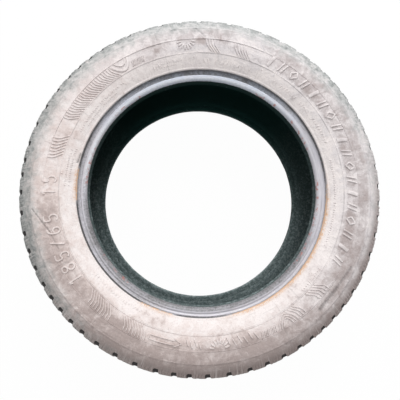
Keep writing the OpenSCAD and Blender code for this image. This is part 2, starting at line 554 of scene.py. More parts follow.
def mark_finish():
    """Raised marks: the dust is rubbed paler on their tops, and they are darker round their feet."""
    skin = Finish("rubbed_marks")
    lift = skin.field("lift")
    base, normal, speck = dusty_rubber(skin, skin.field("grime") * 0.55)
    base = skin.lay(base, (lift.between(0.6, 1.0) * 0.3, "chalk"), ((1 - lift).clamp() * 0.5, "mud"))
    return skin.close(skin.surface(base, 0.78 + speck * 0.18, normal, 0.25))


def tread_finish():
    """Worn tread: the sidewall's dust over scuffed blocks, dark in the cuts with dirt and painted shade.

    It is grey towards the crown, and muddy with pale scrapes round the edge on the near right.
    """
    skin = Finish("worn_tread")
    base, normal, speck = dusty_rubber(skin, skin.field("grime"))
    base, scuff = grey_film(skin, base, skin.field("edge"))
    at_edge = skin.radius.between(OUTER_R - 34 * MM, OUTER_R - 17 * MM)
    soiled = (skin.east * 0.5 - skin.north * 0.85).between(0.15, 0.85) * at_edge
    scrape = skin.streaks(130.0, 9.0, 3.0, 0.6).between(0.56, 0.7) * at_edge
    # The last coat darkens the grooves, slots and sipes: dirt and painted shade
    base = skin.lay(base, (soiled * (1.05 - scuff * 0.5).clamp(), "mud"), (scrape * 0.4, "chalk"),
                    ((skin.field("deep") * 1.3 - scuff * 0.15).clamp() * 0.96, "rubber"))
    return skin.close(skin.surface(base, 0.82 + speck * 0.15, skin.bump(scuff, 0.6, 0.8, normal), 0.2))


def bead_finish():
    """Bead rubber that the rim has polished.

    It is lilac-grey, with a painted cool reflection over its far side, a painted highlight along its heel on
    the far side, painted shade under the rim line, on the flank and on the heel, specks of red rust and a
    rusty edge. It turns as matt and dark as the liner where the inside begins.
    """
    skin = Finish("polished_bead")
    broad = skin.noise(30.0, 4.0, 0.6)
    speck = skin.noise(330.0, 4.0, 0.7)
    drawn_round = skin.streaks(5.0, 420.0, 4.0, 0.65)
    rust, dark, inner = (skin.field(name) for name in ("rust", "dark", "inner"))
    # Painted highlight along the heel on the far side, broken up by specks and streaks
    crest_highlight = skin.field("crest_highlight") * (1.25 - speck.between(0.4, 0.7) * 0.9 - drawn_round * 0.4).clamp()
    # Painted shade under the rim line, on the flank and on the heel, laid in the colour of bare rubber
    shaded = (dark * 1.4 + (speck - 0.5) * 1.3 + (broad - 0.5) * 0.8 - 0.15).clamp() * dark.between(0.0, 0.15)
    fleck = (skin.field("fleck") * skin.noise(150.0, 3.0, 0.6)).between(0.5, 0.64)
    rusty = (rust + (speck - 0.5) * 1.6).between(0.4, 1.0) * rust.between(0.02, 0.2)
    base = skin.lay(
        # a cool painted reflection over the far side
        "bead", (skin.north.between(0.35, 1.0) * 0.6, "painted_sheen"), (broad.between(0.35, 0.65) * 0.35, "dust"),
        (drawn_round.between(0.52, 0.7) * 0.3, "rubber"), (crest_highlight * 0.75, "crest_highlight"),
        (shaded * 0.94, "rubber"), (fleck * 0.75, "red_rust"), (rusty * 0.9, "rust"))
    normal = skin.bump(drawn_round, 0.25, 0.5, skin.bump(speck, 0.3, 0.7))
    polished = skin.surface(base, 0.15 + drawn_round * 0.2 + dark * 0.4, normal, 0.8)
    matt = inside_surface(skin, 0.45 + skin.field("within") * 0.5)
    ragged = (inner * 1.6 + (speck - 0.5) * 2.2 + (broad - 0.5) * 0.8 - 0.3).clamp()
    inputs = {0: ragged * inner.between(0.0, 0.1), 1: polished, 2: matt}
    return skin.close(skin.start.node("ShaderNodeMixShader", inputs=inputs))


def inside_surface(skin, dust=1.0):
    """The rubber inside the tyre: near black, and green where dust lies.

    The dust lies in fine specks, in its amount; laying it thicker towards the near side, where light falls
    inside, is painted light.
    """
    speck = skin.noise(210.0, 5.0, 0.78)
    drawn_round = skin.streaks(30.0, 160.0, 3.0, 0.6)
    # Painted light: the dust is laid thicker towards the near side, which the lamp lights inside
    lit_side_dust = (skin.noise(12.0, 3.0, 0.6) * 0.3 - skin.north).between(-0.75, 1.1)
    film = lit_side_dust * dust * (0.5 + speck.between(0.45, 0.66) * 1.1 + drawn_round.between(0.5, 0.7) * 0.1)
    base = skin.lay((0, 0, 0, 1), (dust, "liner"), (film.clamp(), "liner_dust"))
    normal = skin.bump(speck, 0.6, 0.8, skin.bump(drawn_round, 0.8, 0.4))
    return skin.surface(base, 0.75 + speck * 0.2, normal, 0.15)


def liner_finish():
    """Inner liner, all in the dull surface of the tyre's inside."""
    skin = Finish("inner_liner")
    return skin.close(inside_surface(skin))


@functools.cache
def finish(make):
    """The material that a function makes, made once."""
    return make()


# ---- tread

GRIME = (
    # the mud's middle, reach and softness in degrees, then in mm of radius, and how much there is:
    # in the upper right of the band, in its left, beside the topmost ribs, and two stains there
    (76, 44, 14, 250, 14, 8, 0.62),
    (238, 20, 16, 246, 11, 12, 0.6),
    (352, 12, 8, 257, 8, 10, 0.35),
    (359, 0.8, 1.8, 246.5, 2, 8, 0.85),
    (341.5, 0.2, 2, 240, 0, 7, 0.7),
)


def wall_grime(clock, r):
    """How much mud lies at each clock angle and radius.

    It lies over the near side of the shoulder, in the places of GRIME, and in chance patches.
    """
    near_side = arc(clock, 178, 20, 70) * ramp(r, BAND_LOW + 4 * MM, STEP_R - 12 * MM)
    total = 0.95 * near_side + 0.3 * ramp(waves(clock, r, 24, 16, 50), 0.2, 0.9)
    for middle, reach, soft, radius, reach_r, soft_r, amount in GRIME:
        total = total + amount * arc(clock, middle, reach, soft) * belt(r, radius, reach_r, soft_r)
    return np.clip(total, 0, 1)


def film_reach(clock, r):
    """How much of the grey film lies at each clock angle and radius.

    It comes in further from the crown on the far side, and mud hides half of it on the near and
    the right side.
    """
    far_side = arc(clock, 340, 92, 50)
    reach = (r - OUTER_R) / MM + 3 * waves(clock, r, 14, 120, 60) + 2 + 8 * far_side
    film = ramp(reach, -34 - 14 * far_side, -6 + 2 * far_side)
    return film * (1 - 0.55 * np.maximum(arc(clock, 168, 48, 36), arc(clock, 105, 22, 34)))


def tread_rows():
    """Radii and heights of the tread ring's rows.

    They are closer together at the edges of a groove, and the step line is lower by the step.
    """
    z_in, z_out, half = INNER_GROOVE, OUTER_GROOVE, GROOVE_W / 2
    edge = np.array([-0.7, 0, 1, 4, 7, 8, 8.7]) * MM - half
    heights = np.concatenate([
        np.array([0, 4.5]) * MM, z_in + edge, np.linspace(z_in + 2 * half, z_out - 2 * half, 6),
        z_out + edge, np.linspace(z_out + 2 * half, sizes().tread_half - sizes().shoulder_round, 5)])
    heights = np.sort(heights)
    crown_run = np.stack([crown(heights), heights], axis=1)
    bend = shoulder(np.linspace(0, 1, 13)[1:])
    radii = np.linspace(bend[-1, 0], STEP_R, 18)[1:]
    step = STEP_DEPTH * climb(radii - STEP_R, 0, 3)
    return np.concatenate([crown_run, bend, np.stack([radii, wall(radii) - step], axis=1)])


def tread_columns():
    """Columns of one pitch: (share of the slot's width, share of the block, millimetres, slot, sipe).

    The slot comes first, with its two walls; then the block, cut by three sipes.
    """
    slot = [(0, 0, -0.6, 0, 0), (0, 0, 0, 0.1, 0), (0, 0, 1.0, 1, 0), (0.5, 0, 0, 1, 0),
            (1, 0, -1.0, 1, 0), (1, 0, 0, 0.1, 0), (1, 0, 0.6, 0, 0)]
    block = []
    for share in (0.25, 0.5, 0.75):
        block += [(1, share - 0.125, 0, 0, 0), (1, share, -0.75, 0, 0), (1, share, -0.35, 0, 1),
                  (1, share, 0.35, 0, 1), (1, share, 0.75, 0, 0)]
    return np.array(slot + block + [(1, 0.875, 0, 0, 0)]).T


# How far a slot leans round the ring for each metre over the crown, and down the side
CROWN_LEAN, SIDE_LEAN = 0.45, 0.12
# How far a sipe swings to either side, and the length over which it swings by a radian
SIPE_SWING, SIPE_WAVE = 0.9 * MM, 2.2 * MM
# Width of a slot at the inner grooves, how much it widens over the shoulder, and then narrows
SLOT_INNER, SLOT_FLARE, SLOT_TAPER = 2.6 * MM, 1.8 * MM, 3 * MM


def tread_ring(side, name):
    """One half of the tread, from the mid-plane over its shoulder to the step line.

    Rows follow the section. Columns follow the pitches and are sheared along the slots, so that
    each slot and sipe has edges of its own. Grooves, slots and sipes push the surface inwards.
    """
    s = sizes()
    rows = tread_rows()
    r, z = rows.T
    run = run_along(rows)
    on_crown = z < s.tread_half - s.shoulder_round + 0.1 * MM
    past_edge = run - run[on_crown][-1]

    # axes: pitch, column of the pitch, row
    share, part, offset, slot, sipe = tread_columns()[:, None, :, None]
    before = np.concatenate([[0], np.cumsum(PITCHES)[:-1]])
    start = np.radians(PITCH_START + 360 * before / PITCHES.sum())[:, None, None]
    width = SLOT_INNER + (s.slot_width - SLOT_INNER) * climb(z - OUTER_GROOVE, 0, 2)
    width = width + SLOT_FLARE * climb(past_edge, 0, 8) - SLOT_TAPER * climb(past_edge, 20, 29)
    width = width / OUTER_R
    block = np.radians(360 * PITCHES / PITCHES.sum())[:, None, None] - width
    lean = np.where(on_crown, CROWN_LEAN, SIDE_LEAN) * past_edge
    zigzag = SIPE_SWING * np.where(on_crown, np.cos(run / SIPE_WAVE), 0)
    shear = (lean + zigzag * (part > 0)) / OUTER_R
    clock = (start + share * width + part * block + offset * MM / OUTER_R + shear).reshape(-1, len(rows))
    slot, sipe = (np.tile(column[0], (len(PITCHES), 1)) for column in (slot, sipe))

    # how deep the grooves, the slots and the sipes cut, and then how worn the surface is
    half = GROOVE_W / 2 / MM
    grooves = np.maximum(*(belt(z - middle, 0, half - 1.05, 1) for middle in (INNER_GROOVE, OUTER_GROOVE)))
    slot_mask = np.where(z < INNER_GROOVE, 0, 1 - climb(past_edge, 25, 28))
    slot_depth = slot_mask * (0.8 - 0.42 * belt(past_edge, 11.5, 2.5, 5))
    sipe_depth = np.where(z < 3 * MM, 0, 1 - 0.8 * climb(past_edge, -4, 2))
    thin_cut = sipe * sipe_depth * (1 - climb(past_edge, 22, 36))
    depth = np.maximum(np.maximum(grooves, slot * slot_depth) * s.groove_depth, thin_cut * s.sipe_depth)

    along = run + side * 0.3
    uneven = 0.6 * waves(clock, along, 11, 90, 140) + 0.7 * waves(clock, along, 12, 420, 420)
    crumble = np.clip(waves(clock, along, 13, 300, 500), 0.7, None) - 0.7
    ragged = np.clip(waves(clock, along, 15, 260, 90) - 0.1, 0, None) * belt(past_edge, 8, 6, 7)
    ragged = ragged * (0.35 + 0.65 * arc(clock, 20, 75, 40))
    down = depth + s.ripple * (1 + uneven * np.where(on_crown, 0.8, 0.35))
    down = down + 1.4 * MM * crumble * on_crown + 1.1 * MM * ragged
    down[:, 0] = s.ripple
    down[:, -1] = s.ripple * 0.4

    back = [(STEP_R - 1 * MM, wall(STEP_R) - 4.5 * MM), (OUTER_R - 16.5 * MM, 74 * MM),
            (OUTER_R - 10.5 * MM, 55 * MM), (OUTER_R - 8.5 * MM, 30 * MM), (OUTER_R - 8 * MM, 0)]
    # How far each point lies in a groove, slot or sipe: the material darkens these with dirt and painted
    # shade
    deep = np.clip(np.maximum(np.maximum(grooves, slot * slot_mask), thin_cut), 0, 1)
    fields = {"deep": deep, "grime": wall_grime(clock, r), "edge": film_reach(clock, r)}
    return add_ring(name, pushed_in(rows, clock, down, side), clock, back, side, fields, smooth_angle=38)


# ---- sidewalls

def wall_rows():
    """Radii of the sidewall's rows, from the step line in to the rim line: closer at the lines."""
    line = np.array([0.8, 0.4, -0.4, -0.8]) * MM
    return np.concatenate([
        np.linspace(STEP_R, BAND_HIGH + 2 * MM, 15), BAND_HIGH + line,
        np.linspace(BAND_HIGH - 1.6 * MM, BAND_LOW + 1.6 * MM, 24), BAND_LOW + line,
        np.linspace(BAND_LOW - 1.8 * MM, RIM_LINE_R + 2.6 * MM, 21),
        RIM_LINE_R + np.array([1.9, 1.3, 0.5, 0.0]) * MM])


SCARS = (
    # (clock angle, radius in mm) at both ends, width in mm, depth in mm, how dark
    ((253.2, 247), (262.8, 269.5), 1.9, 1.0, 0.75),
    ((246.5, 243), (253.4, 247.5), 1.5, 0.5, 0.5),
    ((281.8, 206.6), (285.8, 205.6), 3.0, 0.6, 1.0),
    ((357.1, 270), (0.7, 254.5), 1.8, 0.8, 0.5),
    # a shallow fold in two parts
    ((118.5, 263.4), (126.5, 260.3), 4.2, 0.5, 0.62),
    ((126.5, 260.3), (136.5, 260.8), 5.4, 0.6, 0.8),
)


def scars(clock, r):
    """How deep the sidewall's scars cut at each point, and how dark they are.

    Each is straight: a smooth trough of ragged width.
    """
    depth, mask = np.zeros_like(clock + r), np.zeros_like(clock + r)
    x, y = flat(clock, r)
    wander = 1 + 0.35 * waves(clock, r, 31, 700, 300)
    for *ends, width, deep, dark in SCARS:
        (ax, ay), (bx, by) = (flat(math.radians(angle), radius * MM) for angle, radius in ends)
        t = ((x - ax) * (bx - ax) + (y - ay) * (by - ay)) / ((bx - ax) ** 2 + (by - ay) ** 2)
        t = np.clip(t, 0, 1)
        away = np.hypot(x - ax - t * (bx - ax), y - ay - t * (by - ay))
        mark = 1 - climb(away / wander, 0.15 * width, 0.8 * width)
        depth = np.maximum(depth, mark * deep * MM)
        mask = np.maximum(mask, mark * dark)
    return depth, mask


def rim_rust(clock):
    """How much rust lies along the rim line at each clock angle."""
    # middle, reach and softness in degrees, and how much
    arcs = ((124, 22, 30, 1.0), (152, 10, 22, 0.5), (272, 6, 4, 0.9), (201, 6, 5, 0.75), (312, 2, 6, 0.3))
    return np.clip(sum(amount * arc(clock, *place) for *place, amount in arcs), 0, 1)


def sidewall_ring(side, name, around):
    """One sidewall, from the step line to the rim line.

    Its height is the plain wall's, less the sunk band, plus the two moulded lines, the rim line's
    ridge, the unevenness of old rubber, and less the scars.
    """
    s = sizes()
    r = wall_rows()
    clock = round_clock(around)
    in_band = climb(r - BAND_LOW, 0.3, 0.9) * (1 - climb(r - BAND_HIGH, -0.9, -0.3))
    low_line, high_line = (belt(r - middle, 0, 0.3, 0.35) for middle in (BAND_LOW, BAND_HIGH))
    kept = 1 - np.maximum(arc(clock, 73, 48, 6), arc(clock, 252, 24, 8))
    worn = ramp(waves(clock, 0 * r, 21, 24, 0), -0.6, 0.2)
    lines = (low_line + high_line * kept) * (0.4 + 0.6 * worn)
    ridge = belt(r - RIM_LINE_R, 1.1, 0.5, 0.9)
    uneven = waves(clock, r, 22, 40, 60) + 0.5 * waves(clock, r, 23, 260, 240)
    down, scar_and_shade = scars(clock, r) if side == UPPER else (0 * uneven, 0 * uneven)
    height = (wall(r) - s.ripple * 1.2 - BAND_DEPTH * in_band + s.line_height * lines + RIDGE_HEIGHT * ridge
              + s.ripple * 0.6 * uneven * belt(r - BULGE_R, 0, 24, 20) - down)
    height[:, 0] = wall(r[0]) - 0.1 * MM
    back = [(RIM_LINE_R, RIM_LINE_Z - 7 * MM), (BULGE_R - 12 * MM, HALF_W - 3.4 * MM),
            (BULGE_R + 8 * MM, HALF_W - 3.6 * MM), (STEP_R, wall(STEP_R) - 4 * MM)]

    # painted shade in the corners along both lines and under the step
    faint = 1 - 0.45 * arc(clock, 350, 34, 16)
    low_edge, high_edge = (belt(r - line, -0.9, 0.1, 0.6) for line in (BAND_LOW, BAND_HIGH))
    step_edge = belt(r - STEP_R, 0, 0.2, 1.2) * ramp(waves(clock, 0 * r, 25, 60, 0), -0.5, 0.6)
    scar_and_shade = scar_and_shade + 0.5 * (high_edge * kept * faint + low_edge) * (0.3 + 0.7 * worn) + 0.45 * step_edge
    chance = 1 + 0.6 * waves(clock, r, 26, 900, 900)
    rust = rim_rust(clock) * (1 - climb(r - RIM_LINE_R, 0, 6.5)) * chance
    fields = {"grime": wall_grime(clock, r), "scar_and_shade": np.clip(scar_and_shade, 0, 1), "rust": np.clip(rust, 0, 1),
              "edge": film_reach(clock, r)}
    return add_ring(name, polar(r, clock, side * height), clock, back, side, fields, smooth_angle=45)


# ---- raised marks

def bars(side, paths, widths, height):
    """Raised bars along paths on the sidewall.

    paths is (bars, steps, 2): clock angles in degrees and radii in mm. Across each path runs a
    section of six points: a foot sunk in the wall, a sloping flank, and a flat top. The top is
    lower at both ends, so that they slope too. Widths and the height are in mm. Returns the
    points, faces, caps, how high each point stands and the mud on it.
    """
    paths = np.asarray(paths, float)
    x, y = flat(np.radians(paths[..., 0]), paths[..., 1] * MM)
    dx, dy = np.gradient(x, axis=1), np.gradient(y, axis=1)
    stride = np.hypot(dx, dy)
    across_x, across_y = dy / stride, -dx / stride
    offset = np.array([-1, -1, -0.6, 0.6, 1, 1]) * np.reshape(widths, (-1, 1, 1)) * MM / 2
    lift = np.array([-1, 0.25, 1, 1, 0.25, -1])
    px = x[..., None] + across_x[..., None] * offset
    py = y[..., None] + across_y[..., None] * offset
    ends = np.ones(paths.shape[1])
    ends[[0, -1]] = 0.3
    up = np.where(lift > 0, lift * height * MM * ends[:, None], -0.7 * MM)
    pr = np.hypot(px, py)
    pz = wall(pr) - 0.35 * MM + up
    count, steps = paths.shape[:2]
    points = np.stack([px, py, MID_Z + side * pz], axis=-1).reshape(-1, 3)
    index = np.arange(count * steps * 6).reshape(count, steps, 6)
    after = np.roll(index, -1, axis=2)
    quads = np.stack([index[:, :-1], index[:, 1:], after[:, 1:], after[:, :-1]], axis=-1).reshape(-1, 4)
    caps = np.concatenate([index[:, 0], index[:, -1, ::-1]])
    lift_field = np.broadcast_to(np.clip(lift, 0, 1), px.shape).reshape(-1)
    grime = wall_grime(np.arctan2(px, py), pr).reshape(-1)
    return points, quads, caps, lift_field, grime


def add_bars(name, groups):
    """One mesh from several sets of bars."""
    points, quads, caps, lifts, grimes = zip(*groups)
    bases = np.concatenate([[0], np.cumsum([len(p) for p in points])[:-1]])
    quads = np.concatenate([q + base for q, base in zip(quads, bases)])
    caps = np.concatenate([c + base for c, base in zip(caps, bases)])
    fields = {"lift": np.concatenate(lifts), "grime": np.concatenate(grimes)}
    return add_mesh(name, np.concatenate(points), quads, caps, fields, smooth_angle=25)


CHEVRONS = (
    # first clock angle, last clock angle, how many
    (281, 288.6, 7), (296.8, 321.6, 23), (1.2, 4.4, 4), (12.4, 17.2, 5),
    (128.8, 133.8, 5), (140.8, 144.4, 4), (201.4, 209.4, 8), (215.6, 224.8, 9),
)


def straight(ends, steps):
    """Straight paths from rows of ends: a clock angle and a radius at the start, and at the end."""
    ends = np.array(ends, float)[:, None]
    return ends[..., :2] + (ends[..., 2:] - ends[..., :2]) * np.linspace(0, 1, steps)[:, None]


def chevron_paths():
    """Bent ribs: straight in from the band's upper line for two fifths, then slanting clockwise."""
    high, low = BAND_HIGH / MM - 1.2, BAND_LOW / MM + 1.4
    t = np.linspace(0, 1, 12)
    turn = 0.5 * t + 2.6 * np.clip(t - 0.38, 0, None) ** 1.25 * 1.45
    starts = np.concatenate([np.linspace(first, last, count) for first, last, count in CHEVRONS])
    clock = starts[:, None] + turn
    return np.stack(np.broadcast_arrays(clock, high + (low - high) * t), axis=-1)


FIGURES = (
    # strokes: two corners in a box 1 wide and 1 tall, and a width in mm
    ((0.5, 0, 0.5, 1, 6.5),),
    ((0.26, 0.03, 0.26, 0.97, 3.0), (0.74, 0.03, 0.74, 0.97, 3.0)),
    ((0.5, 0.06, 0.95, 0.5, 2.9), (0.95, 0.5, 0.5, 0.94, 2.9),
     (0.5, 0.94, 0.05, 0.5, 2.9), (0.05, 0.5, 0.5, 0.06, 2.9)),
)
FRIEZE = (0, 1, 2, 1) * 4 + (0, 1)


def frieze_paths():
    """Plain figures in place of a name, round the upper right, with the widths of their strokes.

    Each leans a little clockwise.
    """
    first, last = 25.5, 121.5
    pitch = (last - first) / len(FRIEZE)
    ends, widths = [], []
    for place, kind in enumerate(FRIEZE):
        top = 250.5 if place < 8 else 248.5
        for *corners, width in FIGURES[kind]:
            x, y = np.reshape(corners, (2, 2)).T
            clock = first + pitch * (place + 0.62 * x + 0.22 * (1 - y))
            ends.append(np.stack([clock, top + (233 - top) * y], axis=1).ravel())
            widths.append(width)
    return straight(ends, 6), np.array(widths)


DIGITS = {
    # strokes on a box 1 wide and 2 tall, y down
    "1": (((0.15, 0.45), (0.5, 0.0), (0.5, 2.0)),),
    "5": (((0.95, 0.0), (0.15, 0.0), (0.1, 0.85), (0.6, 0.8), (0.95, 1.2), (0.85, 1.8), (0.4, 2.0),
           (0.0, 1.75)),),
    "6": (((0.85, 0.1), (0.4, 0.2), (0.05, 0.9), (0.05, 1.6), (0.4, 2.0), (0.9, 1.75), (0.9, 1.2),
           (0.5, 0.95), (0.1, 1.2)),),
    "8": (((0.5, 0.9), (0.1, 0.6), (0.2, 0.1), (0.8, 0.1), (0.9, 0.6), (0.5, 0.9), (0.05, 1.35), (0.2, 1.9),
           (0.8, 1.9), (0.95, 1.35), (0.5, 0.9)),),
    "/": (((0.9, 0.0), (0.1, 2.0)),),
}


def numeral_paths(text, first, last, top_r, tall):
    """Strokes of plain numerals set round the ring between two clock angles, heads outwards."""
    paths = []
    pitch = (last - first) / (len(text) - 1)
    across = math.degrees(tall / 2 / (top_r - tall / 2))
    for place, sign in enumerate(text):
        for stroke in DIGITS.get(sign, ()):
            xy = curve_through(stroke, 6)
            steps = np.linspace(0, len(xy) - 1, 48)
            xy = np.stack([np.interp(steps, np.arange(len(xy)), xy[:, i]) for i in range(2)], axis=1)
            clock = first + pitch * place + (xy[:, 0] - 0.5) * across
            paths.append(np.stack([clock, top_r - xy[:, 1] / 2 * tall], axis=1))
    return np.array(paths)


TICK_ROWS = (
    # first and last clock angle, radius and half height in mm, degrees from bar to bar
    (271, 288, 219, 1.6, 0.9), (271, 288, 213.5, 1.6, 0.9), (295, 324, 218, 1.8, 1.0),
    (299, 318, 212.5, 1.4, 0.9), (338, 341, 217, 4.2, 1.2), (341.5, 351, 219.5, 1.4, 0.9),
    (341.5, 348, 214.5, 1.4, 0.9), (0.5, 21.5, 216, 3.8, 1.7), (33, 45, 217, 2.6, 1.3),
    (48, 54, 217, 2.6, 1.3), (57, 69, 217, 2.6, 1.3), (76, 116, 214.5, 1.8, 1.0),
    (125, 137, 223, 2.0, 1.1), (202, 231, 214.5, 2.4, 1.3),
)


def tick_paths(seed):
    """Rows of plain bars, in place of small lettering, with chance gaps. Returns paths and widths."""
    chance = np.random.default_rng(seed)
    ends, widths = [], []
    for first, last, radius, reach, step in TICK_ROWS:
        clock = np.arange(first, last, step)
        clock = clock[chance.random(len(clock)) > 0.12]
        half = reach * chance.choice([0.7, 1.0, 1.0], len(clock))
        lean = step * chance.choice([-0.18, 0, 0.18], len(clock))
        ends.append(np.stack([clock - lean, radius - half, clock + lean, radius + half], axis=1))
        widths.append(np.full(len(clock), 0.7 + 0.35 * reach))
    return straight(np.concatenate(ends), 3), np.concatenate(widths)


def ornament_paths():
    """The smaller ornaments in the band, with their widths.

    They are hanging curves at both ends of the rib fields, hatching, slanted bars and an arrow.
    """
    t = np.linspace(0, 1, 12)
    sag = np.sin(math.pi * t)
    curves = ((322.3, 329.8, 17, 0.5, 4.2), (324.0, 328.6, 9, 0.5, 2.2), (144.2, 152.2, 18.5, -0.2, 1.7),
              (145.3, 151.2, 15, -0.2, 1.7), (146.4, 150.2, 11.5, -0.2, 1.7))
    hanging = [np.stack([first + (last - first) * t + skew * sag, 249.8 - deep * sag ** 0.7], axis=1)
               for first, last, deep, skew, width in curves]
    hatching = [(first + 0.62 * i - 0.3, low, first + 0.62 * i + 0.3, high)
                for first, count, low, high in ((330.6, 9, 231.5, 241), (153, 10, 239, 249))
                for i in range(count)]
    slanted = [(first + step * i + 0.5, 236 - 3 * (i % 2), first + step * i - 0.5, 247 - 3 * (i % 2))
               for first, count, step in ((160.5, 6, 2.1), (181.5, 4, 1.5)) for i in range(count)]
    arrow = [(190.4, 238.1, 200, 238.1), (190.4, 244.9, 200, 244.9), (188, 241.5, 190.9, 235.3),
             (188, 241.5, 190.9, 247.7), (200, 238.1, 200, 244.9)]
    widths = [curve[-1] for curve in curves]
    widths += [1.3] * len(hatching) + [2.0] * len(slanted) + [1.5] * len(arrow)
    return np.concatenate([hanging, straight(hatching + slanted + arrow, len(t))]), np.array(widths)


def ray_paths():
    """Two half rings of short bars that open outwards, one at the far side and one at the near side."""
    angle = np.radians(np.linspace(-78, 78, 8))
    ends = [[value for away in (8.5, 16) for value in (
        clock + math.degrees(away * math.sin(a) / radius), radius - away * math.cos(a))]
        for clock, radius in ((353.2, 249.5), (174.4, 248.5)) for a in angle]
    return straight(ends, 4)


def bump_paths():
    """Small round-ended marks below the band: the wear markers."""
    spots = ((275.8, 225.5), (291.2, 222.5), (327.6, 217.5), (193.8, 224), (356, 222), (26, 223))
    return straight([(clock - 0.25, r - 1.1, clock + 0.25, r + 1.1) for clock, r in spots], 5)


# ---- beads and liner

def bead_ring(side, name):
    """One bead, from the rim line over the heel, the straight seat and the toe to the inside.

    The section is a smooth curve through its corners, with the hollow that the rim's flange
    pressed in, and the heel is a quarter circle.
    """
    s = sizes()
    face = SEAT_OUT + HEEL_R
    flank = curve_through([
        (RIM_LINE_R, RIM_LINE_Z - 1.2 * MM), (RIM_LINE_R - 1.4 * MM, RIM_LINE_Z - 2.6 * MM),
        (RIM_LINE_R - 3.2 * MM, face - 0.4 * MM), (SEAT_R + HEEL_R + 3.2 * MM, face - 1.5 * MM),
        (SEAT_R + HEEL_R + 1.0 * MM, face - 0.25 * MM)], 5)
    angle = np.linspace(math.radians(80), math.pi, 14)
    heel = np.stack([SEAT_R + HEEL_R + HEEL_R * np.cos(angle), SEAT_OUT + HEEL_R * np.sin(angle)], axis=1)
    inside = curve_through([
        (SEAT_R, SEAT_IN + 0.3 * MM), (SEAT_R - 0.5 * MM, SEAT_IN - 1.0 * MM), TOE,
        (TOE[0] + 0.9 * MM, TOE[1] - 1.0 * MM), (TOE[0] + 4 * MM, TOE[1] - 0.8 * MM),
        (TOE[0] + 11 * MM, TOE[1] + 2.6 * MM)], 4)
    section = np.concatenate([flank, heel, inside])
    back = [(RIM_LINE_R + 2 * MM, TOE[1] + 9 * MM), (RIM_LINE_R + 2 * MM, RIM_LINE_Z - 4 * MM)]
    clock = round_clock(BEAD_ROUND)
    r, z = section.T
    run = run_along(section)
    down = s.ripple * (0.5 + 0.5 * waves(clock, run, 41, 50, 90) + 0.3 * waves(clock, run, 42, 240, 400))
    down = down * climb(run, 0, 2)

    outside = z > SEAT_OUT + 0.5 * MM
    far_side, near_side = arc(clock, 2, 18, 50), arc(clock, 190, 60, 40)
    left_side, low_left = arc(clock, 305, 40, 25), arc(clock, 226, 16, 24)
    arcs = ((282, 8), (318, 7), (35, 6), (110, 24), (60, 8), (228, 8))
    flecked = np.clip(sum(arc(clock, middle, reach, 8) for middle, reach in arcs), 0, 1)
    fleck = flecked * belt(r - SEAT_R, 1.5, 1.5, 3) * outside
    # shade under the rim line, on the flank, on the heel and all over the low left
    edge = belt(r - RIM_LINE_R, -0.9, 0.9, 0.9) * outside * (1 + 0.25 * low_left)
    flank_shade = belt(r - RIM_LINE_R, -3.6, 2.4, 2.2) * outside
    heel_shade = belt(r - SEAT_R, 2, 3, 3) * (z < face)
    dark = np.maximum.reduce([
        0.8 * edge, flank_shade * np.maximum(0.66 * far_side, 0.36 * left_side),
        0.62 * heel_shade * near_side, 0.34 * (z < face) * (r > SEAT_R) * low_left])
    rust = rim_rust(clock) * belt(r - RIM_LINE_R, 0, 1.0, 1.6) * outside
    # painted highlight along the heel, on the far side round the upper left
    crest_highlight = belt(r - SEAT_R, 3.4, 0.8, 2.2) * outside * arc(clock, 335, 45, 35)
    # where the polish ends, and where the dust of the inside begins
    inner = 1 - climb(z - SEAT_OUT, -0.4 + 0.1 * near_side, 3 - 1.3 * near_side)
    toe = run[np.argmin(r)]
    within = climb(run - toe, 0, 1.5) * np.ones_like(clock)
    fields = {"rust": rust, "dark": dark * (1 - 0.8 * rust), "fleck": fleck, "inner": inner,
              "within": within, "crest_highlight": crest_highlight}
    return add_ring(name, pushed_in(section, clock, down, side), clock, back, side, fields, smooth_angle=60)


def liner_ring(name):
    """The inner liner: a thin closed skin from bead to bead, with the unevenness of its moulding."""
    section = liner(16)
    clock, run = round_clock(LINER_ROUND), run_along(section)
    uneven = 0.5 * MM * (waves(clock, run, 51, 60, 70) + 0.5 * waves(clock, run, 52, 180, 240))
    back = (section + outward(section) * LINER_T)[::3]
    return add_ring(name, pushed_in(section, clock, uneven), clock, back[::-1], smooth_angle=60)


# ---- operators

class TYRE_OT_tread(Operator):
    """Build the two halves of the tread with their shoulders"""

    bl_idname = "tyre.add_tread"
    bl_label = "Tread"

    def execute(self, context):
        for side, name in ((UPPER, "tread_upper"), (LOWER, "tread_lower")):
            finish_piece(tread_ring(side, name), finish(tread_finish))
        return {"FINISHED"}


class TYRE_OT_sidewalls(Operator):
    """Build the two sidewalls"""

    bl_idname = "tyre.add_sidewalls"
    bl_label = "Sidewalls"

    def execute(self, context):
        finish_piece(sidewall_ring(UPPER, "sidewall_upper", WALL_ROUND), finish(sidewall_finish))
        finish_piece(sidewall_ring(LOWER, "sidewall_lower", BEAD_ROUND), finish(sidewall_finish))
        return {"FINISHED"}


class TYRE_OT_marks(Operator):
    """Build the raised marks on both sidewalls"""

    bl_idname = "tyre.add_marks"
    bl_label = "Raised marks"

    def execute(self, context):
        high = sizes().mark_height / MM
        for side, name in ((UPPER, "upper"), (LOWER, "lower")):
            band = [bars(side, chevron_paths(), RIB_W, RIB_SHARE * high), bars(side, *frieze_paths(), high),
                    bars(side, ray_paths(), RAY_W, high), bars(side, *ornament_paths(), high)]
            finish_piece(add_bars("band_marks_" + name, band), finish(mark_finish))
            small = [bars(side, *tick_paths(61), TICK_H), bars(side, bump_paths(), SPOT_W, SPOT_H)]
            if side == UPPER:
                small.append(bars(side, numeral_paths(*NUMERALS), NUMERAL_W, NUMERAL_SHARE * high))
            finish_piece(add_bars("small_marks_" + name, small), finish(mark_finish))
        return {"FINISHED"}


